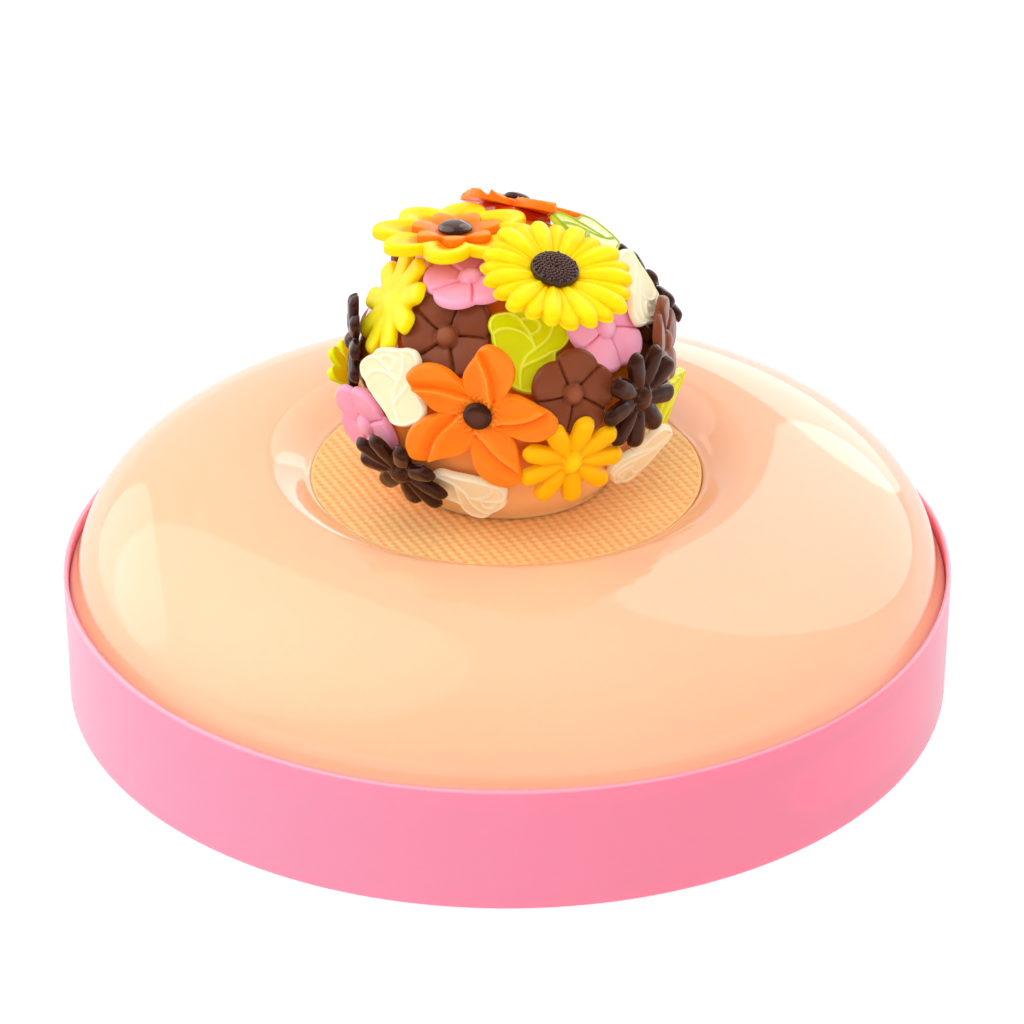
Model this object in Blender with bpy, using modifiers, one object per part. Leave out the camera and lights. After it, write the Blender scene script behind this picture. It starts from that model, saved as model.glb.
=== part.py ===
# Flower cake: a round glazed cake standing in a thin pink band, a wafer in the
# cake's shallow well and, on the wafer, a glazed ball covered with chocolate
# flowers. Metres, +Z up, the flat bottom on z = 0 and the front towards -Y.

import math

import bmesh
import bpy
from mathutils import Matrix, Vector
from mathutils.bvhtree import BVHTree

mm = 0.001
gap = 0.3 * mm

# the band round the cake
bandRadius = 100.0 * mm
bandWall = 1.1 * mm
bandHeight = 28.7 * mm

# the glazed cake, read from the rim of its well outwards
wellRadius = 44.0 * mm
wellHeight = 48.8 * mm
crestRadius = 54.0 * mm
crestHeight = 54.8 * mm
shoulderRadius = 97.0 * mm
shoulderHeight = 25.4 * mm
waistRadius = 97.6 * mm
footChamfer = 1.0 * mm
crestRoundness = 1.82
shoulderRoundness = 2.31
slopeRoundness = 1.5

# the wafer in the well
waferRadius = 43.5 * mm
waferTop = 49.3 * mm
waferThickness = 1.4 * mm
waferShift = -0.2 * mm

# the glazed ball on the wafer
ballRadius = 33.3 * mm
ballLift = 25.2 * mm
ballCentre = Vector((0, 0, waferTop + ballLift))

# how finely the turned solids are cut
cakeSteps = 72
bandSteps = 72
ballSteps = 40
ballRings = 12
crestSegments = 9
wellSegments = 4

# how a flower is pushed outwards until it lies clear on what carries it
settleStep = 0.1 * mm
settleLimit = 14.0 * mm
clearance = 0.12 * mm
clearanceShare = 0.02

colours = {
    "pink_band": (1.0, 0.32, 0.44),
    "pale_glaze": (0.98, 0.66, 0.42),
    "wafer": (0.85, 0.42, 0.16),
    "orange_glaze": (0.80, 0.26, 0.08),
    "lemon_chocolate": (0.98, 0.80, 0.06),
    "golden_chocolate": (0.95, 0.52, 0.005),
    "orange_chocolate": (1.0, 0.22, 0.005),
    "dark_chocolate": (0.045, 0.02, 0.014),
    "milk_chocolate": (0.20, 0.06, 0.03),
    "pink_chocolate": (0.90, 0.27, 0.38),
    "lime_chocolate": (0.62, 0.65, 0.002),
    "cream_chocolate": (0.98, 0.84, 0.58),
}

roughness = {"wafer": 0.8, "cream_chocolate": 0.4, "pink_band": 0.3}


def clearScene():
    for old in list(bpy.data.objects):
        bpy.data.objects.remove(old, do_unlink=True)


def makeCollection(name):
    made = bpy.data.collections.new(name)
    bpy.context.scene.collection.children.link(made)
    return made


def makeMaterial(name):
    made = bpy.data.materials.new(name)
    made.use_nodes = True
    shader = made.node_tree.nodes["Principled BSDF"]
    shader.inputs["Base Color"].default_value = (*colours[name], 1)
    shader.inputs["Roughness"].default_value = roughness.get(name, 0.25)
    shader.inputs["Metallic"].default_value = 0
    return made


def addObject(name, mesh, slot):
    made = bpy.data.objects.new(name, mesh)
    mesh.materials.append(materials[slot])
    parts.objects.link(made)
    return made


def meshFrom(bm, name):
    bmesh.ops.recalc_face_normals(bm, faces=bm.faces)
    mesh = bpy.data.meshes.new(name)
    bm.to_mesh(mesh)
    bm.free()
    return mesh


# ---- the turned solids ----

def addTurned(name, profile, steps, slot, closed=False):
    # profile: (radius, height) pairs, from top to bottom on the outer side
    mesh = bpy.data.meshes.new(name)
    edges = [(i, i + 1) for i in range(len(profile) - 1)]
    if closed:
        edges.append((len(profile) - 1, 0))
    mesh.from_pydata([(r, 0, z) for r, z in profile], edges, [])
    made = addObject(name, mesh, slot)
    screw = made.modifiers.new("turn", "SCREW")
    screw.steps = steps
    screw.render_steps = steps
    screw.use_merge_vertices = True
    screw.merge_threshold = 0.01 * mm
    return made


def crestCurve():
    # a superellipse from the crest out and down to the shoulder
    for i in range(crestSegments + 1):
        turn = math.pi / 2 * i / crestSegments
        out = math.sin(turn) ** (2 / crestRoundness)
        up = max(math.cos(turn), 0) ** (2 / shoulderRoundness)
        yield (crestRadius + (shoulderRadius - crestRadius) * out,
               shoulderHeight + (crestHeight - shoulderHeight) * up)


def wellCurve():
    # the well's side rises steeply from the wafer and levels out at the crest
    for i in range(wellSegments):
        share = i / wellSegments
        rise = 1 - (1 - share) ** slopeRoundness
        yield (wellRadius + (crestRadius - wellRadius) * share,
               wellHeight + (crestHeight - wellHeight) * rise)


def addCake():
    seat = waferTop - waferThickness - gap
    profile = [(0, seat), (wellRadius - gap / 2, seat)]
    profile += list(wellCurve())
    profile += list(crestCurve())
    profile.append((waistRadius, shoulderHeight / 2))
    profile.append((waistRadius, footChamfer))
    profile.append((waistRadius - footChamfer, 0))
    profile.append((0, 0))
    return addTurned("glazed_cake", profile, cakeSteps, "pale_glaze")


def addBand():
    inner = bandRadius - bandWall
    profile = [(inner, bandHeight), (bandRadius, bandHeight), (bandRadius, 0), (inner, 0)]
    return addTurned("pink_band", profile, bandSteps, "pink_band", closed=True)


def addWafer():
    bm = bmesh.new()
    bmesh.ops.create_cone(bm, cap_ends=True, segments=64, radius1=waferRadius,
                          radius2=waferRadius, depth=waferThickness)
    made = addObject("wafer_disc", meshFrom(bm, "wafer_disc"), "wafer")
    made.location = (waferShift, 0, waferTop - waferThickness / 2)
    return made


def addBall():
    # cut flat where it stands on the wafer
    floor = waferTop + gap
    lowest = math.asin((floor - ballCentre.z) / ballRadius)
    profile = []
    for i in range(ballRings + 1):
        turn = math.pi / 2 + (lowest - math.pi / 2) * i / ballRings
        profile.append((ballRadius * math.cos(turn) if i else 0,
                        ballCentre.z + ballRadius * math.sin(turn)))
    profile.append((0, floor))
    return addTurned("glazed_ball", profile, ballSteps, "orange_glaze")


# ---- outlines of the flowers: radius for an angle, in a flower's own plane ----

def petalRadius(angle, petal):
    # where a ray from the flower's centre leaves an elliptic petal
    centre, along, across = petal
    c, s = math.cos(angle), math.sin(angle)
    square = (c / along) ** 2 + (s / across) ** 2
    half = centre * c / along ** 2
    under = half * half - square * ((centre / along) ** 2 - 1)
    if c <= 0 or under <= 0:
        return 0
    return (half + math.sqrt(under)) / square


def petalOutline(count, petal, hub):
    step = 2 * math.pi / count

    def radius(angle):
        aside = (angle + step / 2) % step - step / 2
        return max(hub, *(petalRadius(aside + k * step, petal) for k in (-1, 0, 1)))
    return radius


# the rose's corners: degrees and radius, joined by smooth steps
roseCorners = [(0, 7.2), (8, 8.4), (17, 9.4), (28, 9.8), (40, 9.2), (60, 8.0), (80, 8.2),
               (99, 8.9), (110, 8.8), (120, 9.6), (134, 10.5), (145, 9.9), (155, 8.4),
               (165, 7.8), (178, 7.0), (202, 6.5), (222, 7.0), (240, 8.7), (258, 9.1),
               (275, 9.4), (295, 10.0), (308, 9.2), (320, 7.4), (335, 6.2), (350, 5.9)]


def roseOutline(angle):
    degrees = math.degrees(angle) % 360
    wrapped = roseCorners + [(roseCorners[0][0] + 360, roseCorners[0][1])]
    for (a, ra), (b, rb) in zip(wrapped, wrapped[1:]):
        if a <= degrees <= b:
            share = (degrees - a) / (b - a)
            share = share * share * (3 - 2 * share)
            return (ra + (rb - ra) * share) * mm
    return roseCorners[0][1] * mm


def petalRidge(count, deep):
    # 1 on a petal's middle line, less by deep between two petals
    def height(angle):
        return 1 - deep * (0.5 - 0.5 * math.cos(count * angle))
    return height


def level(angle):
    return 1


# ---- the kinds of flowers ----
# segments: corners of the outline; rings: share of the outline's radius and
# height, from the flat back over the edge to the middle; peak: middle height

kinds = {
    "plum": {
        "outline": petalOutline(5, (5.2 * mm, 5.1 * mm, 5.6 * mm), 5.0 * mm),
        "ridge": petalRidge(5, 0.15), "segments": 30, "peak": 2.5 * mm,
        "rings": [(0.97, 0), (1.0, 0.9 * mm), (0.3, 1.7 * mm)]},
    "daisy": {
        "outline": petalOutline(9, (7.6 * mm, 4.2 * mm, 2.3 * mm), 5.1 * mm),
        "ridge": petalRidge(9, 0.45), "segments": 45, "peak": 3.1 * mm,
        "rings": [(0.95, 0), (1.0, 1.1 * mm), (0.6, 2.1 * mm)]},
    "lily": {
        "outline": petalOutline(5, (9.6 * mm, 7.0 * mm, 5.2 * mm), 5.0 * mm),
        "ridge": petalRidge(5, 0.3), "segments": 35, "peak": 1.4 * mm,
        "rings": [(0.98, 0), (1.0, 1.2 * mm), (0.55, 2.1 * mm)]},
    "rose": {
        "outline": roseOutline,
        "ridge": level, "segments": 28, "peak": 1.7 * mm,
        "rings": [(0.98, 0), (1.0, 1.2 * mm), (0.9, 1.9 * mm)]},
    "sunflower": {
        "outline": petalOutline(22, (10.2 * mm, 5.6 * mm, 2.0 * mm), 12.0 * mm),
        "ridge": petalRidge(22, 0.3), "segments": 66, "peak": 1.2 * mm,
        "rings": [(0.97, 0), (1.0, 1.0 * mm), (0.75, 2.0 * mm), (0.36, 1.3 * mm)]},
    "plate": {
        "outline": petalOutline(8, (9.5 * mm, 8.1 * mm, 5.2 * mm), 12.0 * mm),
        "ridge": level, "segments": 40, "peak": 0.6 * mm,
        "rings": [(0.99, 0), (1.0, 2.0 * mm), (0.93, 2.6 * mm), (0.62, 0.7 * mm)]},
    "star": {
        "outline": petalOutline(7, (5.0 * mm, 4.7 * mm, 2.6 * mm), 5.5 * mm),
        "ridge": level, "segments": 28, "peak": 0.6 * mm,
        "rings": [(0.98, 0), (1.0, 0.4 * mm), (0.7, 0.7 * mm)]},
}


def flowerMesh(kind):
    # a UV sphere whose rings are pulled to the outline and the heights
    rings = kind["rings"]
    bm = bmesh.new()
    bmesh.ops.create_uvsphere(bm, u_segments=kind["segments"],
                              v_segments=len(rings) + 1, radius=1)
    for vert in bm.verts:
        ring = round(math.acos(max(-1, min(1, -vert.co.z))) / math.pi * (len(rings) + 1))
        if ring == 0:
            vert.co = (0, 0, 0)
        elif ring > len(rings):
            vert.co = (0, 0, kind["peak"])
        else:
            share, height = rings[ring - 1]
            angle = math.atan2(vert.co.y, vert.co.x)
            radius = kind["outline"](angle) * share
            vert.co = (radius * math.cos(angle), radius * math.sin(angle),
                       height * kind["ridge"](angle))
    return meshFrom(bm, "flower")


def buttonMesh(radius, height):
    # a low dome with an upright edge
    bm = bmesh.new()
    bmesh.ops.create_uvsphere(bm, u_segments=16, v_segments=6, radius=1)
    for vert in bm.verts:
        up = vert.co.z
        across = math.hypot(vert.co.x, vert.co.y)
        if up < -0.1:
            flat = 1.0 if up > -0.7 else across
            vert.co *= radius * flat / max(across, 1e-6)
            vert.co.z = 0
        else:
            vert.co.x *= radius
            vert.co.y *= radius
            vert.co.z = height * (0.35 + 0.65 * up)
    return meshFrom(bm, "button")


# ---- where the flowers sit ----

def direction(azimuth, elevation):
    # azimuth 0 faces the front and grows to the right, seen from there
    a, e = math.radians(azimuth), math.radians(elevation)
    return Vector((math.sin(a) * math.cos(e), -math.cos(a) * math.cos(e), math.sin(e)))


def flowerAxes(azimuth, elevation, spin):
    facing = direction(azimuth, elevation)
    a, s = math.radians(azimuth), math.radians(spin)
    side = Vector((math.cos(a), math.sin(a), 0))
    up = facing.cross(side)
    return (side * math.cos(s) + up * math.sin(s),
            up * math.cos(s) - side * math.sin(s), facing)


def flowerMatrix(place, face, spin, lift):
    across, along, facing = flowerAxes(*face, spin)
    base = ballCentre + direction(*place) * ballRadius + facing * lift
    turn = Matrix((across, along, facing)).transposed().to_4x4()
    return Matrix.Translation(base) @ turn


def worldTree(mesh, matrix, grow=0):
    verts = [matrix @ (v.co * (1 + grow)) for v in mesh.vertices]
    return BVHTree.FromPolygons(verts, [tuple(p.vertices) for p in mesh.polygons])


def isClear(meshes, matrix, placed):
    for shift in (-clearance, clearance):
        moved = matrix @ Matrix.Translation((0, 0, shift))
        for mesh, height in meshes:
            seated = moved @ Matrix.Translation((0, 0, height))
            tree = worldTree(mesh, seated, clearanceShare)
            if any(tree.overlap(other) for other in placed):
                return False
    return True


def settle(meshes, place, face, spin, placed):
    lift = gap
    while lift < settleLimit:
        matrix = flowerMatrix(place, face, spin, lift)
        if isClear(meshes, matrix, placed):
            return matrix
        lift += settleStep
    return matrix


# name: kind, slot, place and facing (azimuth, elevation), spin, size
flowers = {
    "plum_milk_under": ("plum", "milk_chocolate", (70, 24), (70, 24), 0, 0.8),
    "plum_milk_left": ("plum", "milk_chocolate", (-27, 36), (-26, 35), 48, 1.03),
    "rose_lime_front": ("rose", "lime_chocolate", (9, 33), (8, 33), 0, 1.02),
    "plum_pink_right": ("plum", "pink_chocolate", (43, 35), (47, 34), 18, 1.0),
    "plum_milk_front": ("plum", "milk_chocolate", (22, 18), (23, 13), 5, 0.94),
    "rose_cream_top": ("rose", "cream_chocolate", (68, 42), (75, 25), 180, 1.0),
    "rose_lime_right": ("rose", "lime_chocolate", (94, -14), (70, -15), 0, 1.0),
    "plum_milk_right": ("plum", "milk_chocolate", (69, 22), (79, 7), 0, 0.95),
    "plum_pink_top": ("plum", "pink_chocolate", (-24, 57), (-38, 75), -10, 1.0),
    "plum_pink_left": ("plum", "pink_chocolate", (-62, -8), (-51, -14), 0, 1.0),
    "daisy_lemon_left": ("daisy", "lemon_chocolate", (-62.5, 39.5), (-72, 31), 39, 1.03),
    "rose_cream_left": ("rose", "cream_chocolate", (-41, 16), (-41, 11), 36, 1.0),
    "daisy_dark_left": ("daisy", "dark_chocolate", (-76, 19), (-86, 2), 10, 0.9),
    "daisy_lime_back": ("daisy", "lime_chocolate", (-99, -8), (-104, -26), 0, 0.8),
    "rose_cream_right": ("rose", "cream_chocolate", (60, -19), (45, -32), 147, 1.0),
    "daisy_dark_right": ("daisy", "dark_chocolate", (45, 13), (51, -3), 65, 1.0),
    "daisy_yellow_front": ("daisy", "golden_chocolate", (21, -4), (19, -15), 77, 1.0),
    "lily_orange_front": ("lily", "orange_chocolate", (-8, 15), (-13, 1), 76, 1.02),
    "rose_cream_front": ("rose", "cream_chocolate", (-15, -24), (-22, -30), -112, 0.97),
    "daisy_dark_front": ("daisy", "dark_chocolate", (-40, -15.5), (-40, -31), 24, 1.0),
    "daisy_yellow_side": ("daisy", "golden_chocolate", (118, -4), (118, -4), 0, 0.95),
    "daisy_dark_low": ("daisy", "dark_chocolate", (131, -24), (131, -24), 15, 0.9),
    "plum_pink_back": ("plum", "pink_chocolate", (158, -25), (158, -25), 30, 1.0),
    "plum_milk_low": ("plum", "milk_chocolate", (-161, -25), (-161, -25), 20, 1.0),
    "plum_milk_side": ("plum", "milk_chocolate", (-127, 0), (-127, 0), 30, 0.9),
    "rose_cream_back": ("rose", "cream_chocolate", (-128, -27), (-128, -27), 120, 1.0),
    "plum_milk_back": ("plum", "milk_chocolate", (-140, 38), (-140, 38), 60, 0.95),
    "sunflower_back": ("sunflower", "lemon_chocolate", (164, 9), (164, 9), 0, 0.97),
    "lily_orange_back": ("lily", "orange_chocolate", (-158, 4), (-158, 4), 20, 0.95),
    "plate_flower": ("plate", "lemon_chocolate", (-68, 69), (-171, 84), 28, 1.03),
    "plum_pink_crown": ("plum", "pink_chocolate", (186, 60), (186, 60), 0, 0.62),
    "lily_orange_crown": ("lily", "orange_chocolate", (176, 58), (156, 59), 66, 0.88),
    "rose_lime_top": ("rose", "lime_chocolate", (113, 55), (96, 58), 59, 1.06),
    "daisy_dark_back": ("daisy", "dark_chocolate", (109, 25), (116, 32), 20, 0.95),
    "sunflower_front": ("sunflower", "lemon_chocolate", (20, 47), (36, 71), -95, 1.05),
}

# centre pieces: for a flower's kind, the shape, slot and height of its seat
centrePieces = {
    "sunflower": [("centre", (5.0 * mm, 1.9 * mm), "dark_chocolate", 1.6 * mm)],
    "lily": [("centre", (3.1 * mm, 1.6 * mm), "dark_chocolate", 2.2 * mm)],
    "plate": [("star", None, "orange_chocolate", 1.0 * mm),
              ("centre", (3.7 * mm, 1.7 * mm), "dark_chocolate", 2.0 * mm)],
}


def centreMesh(shape):
    return buttonMesh(*shape) if shape else flowerMesh(kinds["star"])


def addFlower(name, kindName, slot, place, face, spin, size, placed):
    mesh = flowerMesh(kinds[kindName])
    mesh.transform(Matrix.Diagonal((size, size, 1, 1)))
    centres = [(part, centreMesh(shape), colour, seat)
               for part, shape, colour, seat in centrePieces.get(kindName, [])]
    cluster = [(mesh, 0)] + [(piece, seat) for _, piece, _, seat in centres]
    matrix = settle(cluster, place, face, spin, placed)
    flower = addObject(name, mesh, slot)
    flower.matrix_world = matrix
    placed.append(worldTree(mesh, matrix))
    for part, piece, colour, seat in centres:
        seated = addObject(f"{name}_{part}", piece, colour)
        seated.parent = flower
        seated.location = (0, 0, seat)
        placed.append(worldTree(piece, matrix @ Matrix.Translation((0, 0, seat))))


def addFlowers(ball):
    evaluated = ball.evaluated_get(bpy.context.evaluated_depsgraph_get())
    mesh = evaluated.to_mesh()
    placed = [worldTree(mesh, Matrix.Identity(4))]
    evaluated.to_mesh_clear()
    for name, details in flowers.items():
        addFlower(name, *details, placed)


clearScene()
parts = makeCollection("flower_cake")
materials = {name: makeMaterial(name) for name in colours}
addBand()
addCake()
addWafer()
addFlowers(addBall())
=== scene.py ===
import math

import bpy
import numpy as np
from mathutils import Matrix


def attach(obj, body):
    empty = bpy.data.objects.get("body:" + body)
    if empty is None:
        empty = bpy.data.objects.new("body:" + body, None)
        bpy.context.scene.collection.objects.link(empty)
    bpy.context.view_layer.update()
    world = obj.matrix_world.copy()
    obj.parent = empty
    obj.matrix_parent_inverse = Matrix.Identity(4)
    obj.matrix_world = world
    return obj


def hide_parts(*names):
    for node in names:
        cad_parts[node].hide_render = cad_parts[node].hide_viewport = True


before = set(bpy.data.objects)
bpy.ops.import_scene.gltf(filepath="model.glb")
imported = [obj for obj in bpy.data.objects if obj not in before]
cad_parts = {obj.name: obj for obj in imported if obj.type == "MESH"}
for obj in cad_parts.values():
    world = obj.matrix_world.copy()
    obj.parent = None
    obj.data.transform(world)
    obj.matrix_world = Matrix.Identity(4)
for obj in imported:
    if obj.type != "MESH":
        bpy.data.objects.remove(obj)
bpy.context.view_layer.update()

# Lengths below are millimetres until a mesh is made.
mm = 0.001
fullTurn = 2 * math.pi


# camera, light and floor

view = {"elevation": 28.8, "distance": 850.0, "aim": (1.06, 0.0, 38.7), "lens": 132.9}

# the lamps face a point 0.04 m up; the walls brighten from the viewer's side to the back
room = {"lampAim": (0, 0, 0.04), "dimUpTo": -0.5, "brightFrom": 0.2, "dim": 0.2, "bright": 1.0,
        "floorHalf": 6000.0, "floorColour": (0.12, 0.12, 0.12, 1),
        "floorGlow": (0.98, 0.98, 1.0, 1), "floorGlowStrength": 0.9}

# name: azimuth, elevation, distance, width, height (m), radiance, spread, reflected, lighting
softboxes = {
    "right_back": (137, 33, 2.2, 2.4, 2.6, 1.5, 180, True, False),
    "low_back": (163, 6, 2.4, 1.3, 1.2, 1.5, 180, True, False),
    "key": (-95, 42, 2.4, 4.5, 4.5, 0.80, 130, True, False),
    "wash": (-74, 50, 2.4, 5.0, 5.0, 0.66, 180, False, True),
    "left": (-124, 13, 2.4, 2.3, 1.5, 0.45, 100, True, False),
    "fill": (12, 34, 2.4, 4.5, 4.5, 1.25, 180, False, True),
}


def direction(azimuth, elevation):
    # a unit arrow: azimuth 0 points to the camera's side (-Y) and grows towards +X
    a, e = math.radians(azimuth), math.radians(elevation)
    return np.array([math.sin(a) * math.cos(e), -math.cos(a) * math.cos(e), math.sin(e)])


def addCamera():
    # it stands the view's distance from its aim and looks back along the same line
    camera = bpy.data.cameras.new("camera")
    camera.lens = view["lens"]
    camera.sensor_width = 36
    camera.clip_start = 0.05
    holder = bpy.data.objects.new("camera", camera)
    place = np.array(view["aim"]) + direction(0, view["elevation"]) * view["distance"]
    holder.location = place * mm
    holder.rotation_euler = (math.radians(90 - view["elevation"]), 0, 0)
    bpy.context.scene.collection.objects.link(holder)
    bpy.context.scene.camera = holder


def addSoftbox(name, azimuth, elevation, distance, width, height, radiance, spread, reflected,
               lighting):
    # an elliptic lamp facing the cake; its power is radiance times pi times the ellipse's area
    lamp = bpy.data.lights.new(name, "AREA")
    lamp.shape = "ELLIPSE"
    lamp.size, lamp.size_y = width, height
    lamp.energy = radiance * math.pi * width * height * math.pi / 4
    lamp.spread = math.radians(spread)
    holder = bpy.data.objects.new(name, lamp)
    holder.location = direction(azimuth, elevation) * distance + np.array(room["lampAim"])
    a, e = math.radians(azimuth), math.radians(elevation)
    holder.rotation_euler = (math.pi / 2 - e, 0, a)
    holder.visible_glossy, holder.visible_diffuse = reflected, lighting
    bpy.context.scene.collection.objects.link(holder)


def addWorld():
    # white walls behind and beside the cake, a dimmer room on the viewer's side
    world = bpy.data.worlds.new("studio")
    world.use_nodes = True
    tree = world.node_tree
    sky = tree.nodes["Background"]
    sky.inputs["Color"].default_value = (1.0, 1.0, 1.0, 1)
    split = tree.nodes.new("ShaderNodeSeparateXYZ")
    tree.links.new(tree.nodes.new("ShaderNodeTexCoord").outputs["Generated"], split.inputs[0])
    shade = tree.nodes.new("ShaderNodeMapRange")
    for number, name in enumerate(("dimUpTo", "brightFrom", "dim", "bright"), 1):
        shade.inputs[number].default_value = room[name]
    tree.links.new(split.outputs["Y"], shade.inputs["Value"])
    tree.links.new(shade.outputs["Result"], sky.inputs["Strength"])
    bpy.context.scene.world = world


def addFloor():
    # one large pale square that glows a little, so it stays even around the cake
    half = room["floorHalf"] * mm
    mesh = bpy.data.meshes.new("floor")
    corners = [(-half, -half, 0), (half, -half, 0), (half, half, 0), (-half, half, 0)]
    mesh.from_pydata(corners, [], [(0, 1, 2, 3)])
    graph = Graph("floor", Roughness=0.6, Base_Color=room["floorColour"],
                  Emission_Color=room["floorGlow"], Emission_Strength=room["floorGlowStrength"])
    mesh.materials.append(graph.material)
    floor = bpy.data.objects.new("floor", mesh)
    bpy.context.scene.collection.objects.link(floor)


# shader maths

class Wire:
    # a node's output that subtracts and multiplies like a number

    def __init__(self, graph, socket):
        self.graph = graph
        self.socket = socket

    def __mul__(self, other):
        return self.graph.maths("MULTIPLY", self, other)

    def __sub__(self, other):
        return self.graph.maths("SUBTRACT", self, other)

    def __rsub__(self, other):
        return self.graph.maths("SUBTRACT", other, self)

    __rmul__ = __mul__


class Graph:
    # one material and the nodes behind its Principled shader

    def __init__(self, name, **fixed):
        self.material = bpy.data.materials.new(name)
        self.material.use_nodes = True
        self.nodes = self.material.node_tree.nodes
        self.shader = self.nodes["Principled BSDF"]
        self.place = self.node("TexCoord", "Object")
        for key, value in fixed.items():
            self.shader.inputs[key.replace("_", " ")].default_value = value

    def feed(self, socket, value):
        # a link from a Wire, or a plain value
        if isinstance(value, Wire):
            self.material.node_tree.links.new(value.socket, socket)
        else:
            socket.default_value = value

    def node(self, kind, output=0, settings=None, inputs=None):
        # inputs go by a socket's name or number
        made = self.nodes.new("ShaderNode" + kind)
        for key, value in (settings or {}).items():
            setattr(made, key, value)
        for key, value in (inputs or {}).items():
            self.feed(made.inputs[key], value)
        return Wire(self, made.outputs[output])

    def maths(self, operation, *values):
        return self.node("Math", 0, {"operation": operation}, dict(enumerate(values)))

    def noise(self, scale, detail):
        return self.node("TexNoise", "Fac", None,
                         {"Vector": self.place, "Scale": scale, "Detail": detail})

    def attribute(self, name):
        return self.node("Attribute", "Fac", {"attribute_name": name})

    def axis(self, letter):
        # one coordinate on the object, in metres
        return self.node("SeparateXYZ", letter, None, {"Vector": self.place})

    def ramp(self, value, low, high, start=0.0, end=1.0):
        # value from low..high becomes start..end along a smooth step
        return self.node("MapRange", 0, {"interpolation_type": "SMOOTHSTEP"},
                         dict(enumerate((value, low, high, start, end))))

    def blend(self, share, first, second):
        # sockets 6 and 7 are the Mix node's two colours, and output 2 is its mixed colour
        ends = [colour if isinstance(colour, Wire) else (*colour, 1) for colour in (first, second)]
        return self.node("Mix", 2, {"data_type": "RGBA"}, {0: share, 6: ends[0], 7: ends[1]})

    def bump(self, height, distance, strength):
        return self.node("Bump", "Normal", None,
                         {"Height": height, "Distance": distance, "Strength": strength})

    def finish(self, **varying):
        for key, value in varying.items():
            self.feed(self.shader.inputs[key.replace("_", " ")], value)
        return self.material


def hex3(r, g, b):
    # screen colour (0..255) to the linear one that shaders take
    return tuple(((c / 255 + 0.055) / 1.055) ** 2.4 for c in (r, g, b))


# meshes

def dome(square):
    # a half circle's height over the square of the way out
    return np.sqrt(np.clip(1 - square, 0, 1))


def ridge(distance, width):
    # a soft ridge: 1 on its line, falling as a bell
    return np.exp(-(distance / width) ** 2)


def step(low, high, value):
    # 0 at low and 1 at high, eased at both ends: three squares less two cubes of the share
    share = np.clip((value - low) / (high - low), 0, 1)
    return share * share * (3 - 2 * share)


def addPiece(name, node, slot, material, points, quads, triangles, marks=None):
    # points, triangles and quads as one smooth mesh, with its relief in an attribute
    mesh = bpy.data.meshes.new(name)
    corners = np.concatenate([triangles.ravel(), quads.ravel()]).astype(np.int32)
    sizes = np.concatenate([np.full(len(triangles), 3), np.full(len(quads), 4)])
    mesh.vertices.add(len(points))
    mesh.vertices.foreach_set("co", (points * mm).astype(np.float32).ravel())
    mesh.loops.add(len(corners))
    mesh.loops.foreach_set("vertex_index", corners)
    mesh.polygons.add(len(sizes))
    starts = np.concatenate([[0], np.cumsum(sizes)[:-1]]).astype(np.int32)
    mesh.polygons.foreach_set("loop_start", starts)
    mesh.polygons.foreach_set("use_smooth", np.ones(len(sizes), dtype=bool))
    mesh.update(calc_edges=True)
    mesh.validate()
    if marks is not None:
        layer = mesh.attributes.new("relief", "FLOAT", "POINT")
        layer.data.foreach_set("value", marks.astype(np.float32).ravel())
    mesh.materials.append(material)
    piece = bpy.data.objects.new(name, mesh)
    bpy.context.scene.collection.objects.link(piece)
    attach(piece, "root")
    if node:
        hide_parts(node)


def circle(columns):
    # evenly spaced angles, once round
    return np.arange(columns) / columns * fullTurn


def ringFaces(rings, columns, closed=False):
    # quads between each ring of points and the next
    start = np.arange(rings if closed else rings - 1)[:, None] * columns
    here = np.arange(columns)
    after = (here + 1) % columns
    up = (start + columns) % (rings * columns)
    return np.stack([start + here, start + after, up + after, up + here], -1).reshape(-1, 4)


def closedRings(rings):
    # the first and the last ring are single points, from the back's middle to the front's
    count, columns = rings.shape[:2]
    inner = rings[1:-1].reshape(-1, 3)
    points = np.vstack([inner, rings[0, :1], rings[-1, :1]])
    here = np.arange(columns)
    after = (here + 1) % columns
    top = (count - 3) * columns
    low = np.full(columns, len(inner))
    triangles = np.vstack([np.stack([low, after, here], -1),
                           np.stack([top + here, top + after, low + 1], -1)])
    return points, ringFaces(count - 2, columns), triangles


def turned(profile, columns, wave=None):
    # profile: (radius, height) from the axis at the bottom round to the axis at the top
    angles = circle(columns)
    radius, height = np.array(profile).T[:, :, None]
    shift = wave(radius, height, angles) if wave else 0
    return np.stack([radius * np.cos(angles), radius * np.sin(angles),
                     height + shift + 0 * angles], -1)


# the glazed cake

cake = {"well": 43.65, "wellHeight": 48.9, "seat": 47.6, "crest": 54.0, "crestHeight": 54.8,
        "shoulder": 97.0, "shoulderHeight": 25.4, "waist": 98.7, "waistHeight": 25.6, "foot": 1.0,
        "crestRoundness": 1.82, "shoulderRoundness": 2.31, "slopeRoundness": 1.5,
        "lip": 0.32, "lipRadius": 44.2, "lipWidth": 0.7, "lean": 0.22, "sway": 0.10,
        "shoulderRings": 90, "slopeRings": 60, "columns": 288}


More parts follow.
